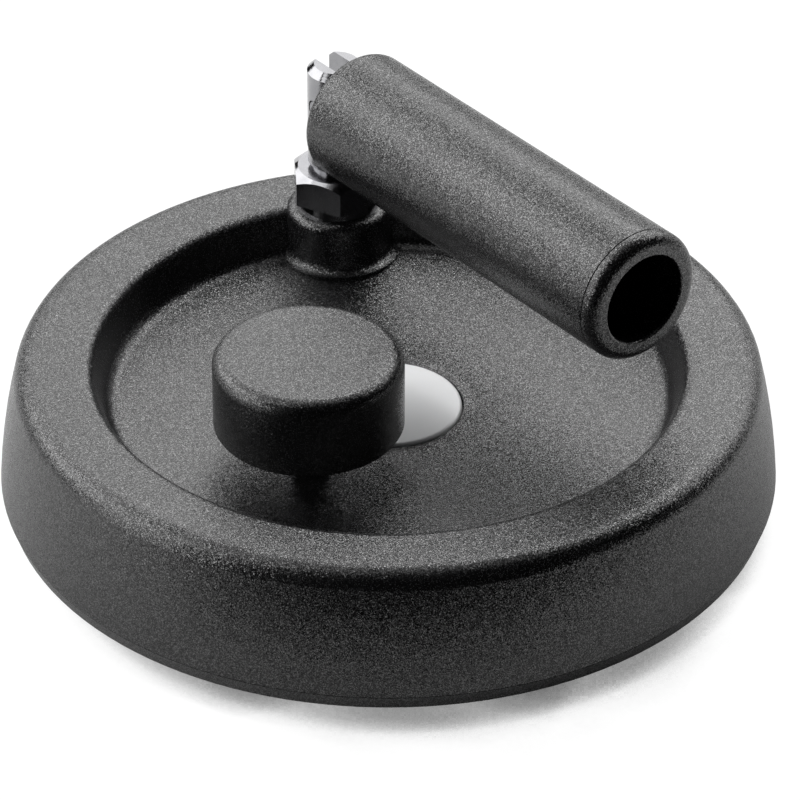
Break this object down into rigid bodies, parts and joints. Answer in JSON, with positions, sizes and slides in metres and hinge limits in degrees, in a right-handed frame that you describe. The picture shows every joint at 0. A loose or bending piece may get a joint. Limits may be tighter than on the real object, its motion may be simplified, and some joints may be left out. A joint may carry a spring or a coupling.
{
  "type": "handwheel",
  "caption": "Solid-disc handwheel with a keyed hub bore, a fold-down revolving handle on a forked stud and a turning finger knob.",
  "frame": {"origin": "centre of the hub's mounting face, on the shaft axis", "axes": "+Z along the shaft axis from the hub face towards the cap and the handle; +Y close to the handle stud; +X to the right as pictured"},
  "size_m": [0.16, 0.16, 0.0744],
  "materials": {
    "wheel_plastic": "black glass-filled plastic, fine spark-eroded grain",
    "handle_plastic": "black plastic, fine grain",
    "knob_plastic": "black plastic, fine grain",
    "cap_plastic": "light grey, satin",
    "stud_steel": "zinc plated, turned",
    "insert_steel": "turned",
    "insert_brass": "turned",
    "spindle_steel": "turned and milled",
    "spring_steel": "drawn wire",
    "fastener_steel": "zinc plated",
    "bush_plastic": "natural bearing plastic"
  },
  "bodies": {
    "wheel": {"wheel_body": "wheel_plastic", "hub_insert": "insert_steel", "centre_cap": "cap_plastic", "stud_insert": "insert_brass", "knob_insert": "insert_brass", "hinge_stud": "stud_steel", "hinge_pin": "spindle_steel", "knob_stem": "stud_steel", "knob_washer": "fastener_steel", "knob_clip": "spring_steel"},
    "spindle": {"handle_spindle": "spindle_steel", "spring_plate": "fastener_steel", "spindle_screw": "fastener_steel", "handle_spring": "spring_steel"},
    "slider": {"thrust_washer": "fastener_steel"},
    "sleeve": {"handle_sleeve": "handle_plastic", "handle_end_ring": "handle_plastic"},
    "knob": {"knob_shell": "knob_plastic", "knob_base": "knob_plastic", "knob_bush": "bush_plastic"}
  },
  "joints": [
    {"name": "handle_fold", "type": "hinge", "parent": "wheel", "child": "spindle", "pos_m": [-0.01088, 0.05758, 0.0605], "axis": [-0.7826, -0.6225, 0], "range_deg": [0, 90]},
    {"name": "handle_pull", "type": "slide", "parent": "spindle", "child": "slider", "axis": [0.6225, -0.7826, 0], "range_m": [0, 0.003], "stiffness_N_per_m": 290, "springref_m": -0.034, "deforming": ["handle_spring"]},
    {"name": "handle_spin", "type": "hinge", "parent": "slider", "child": "sleeve", "pos_m": [-0.01088, 0.05758, 0.0605], "axis": [0.6225, -0.7826, 0], "continuous": true},
    {"name": "knob_spin", "type": "hinge", "parent": "wheel", "child": "knob", "pos_m": [-0.01593, -0.02099, 0.04], "axis": [0, 0, 1], "continuous": true}
  ]
}
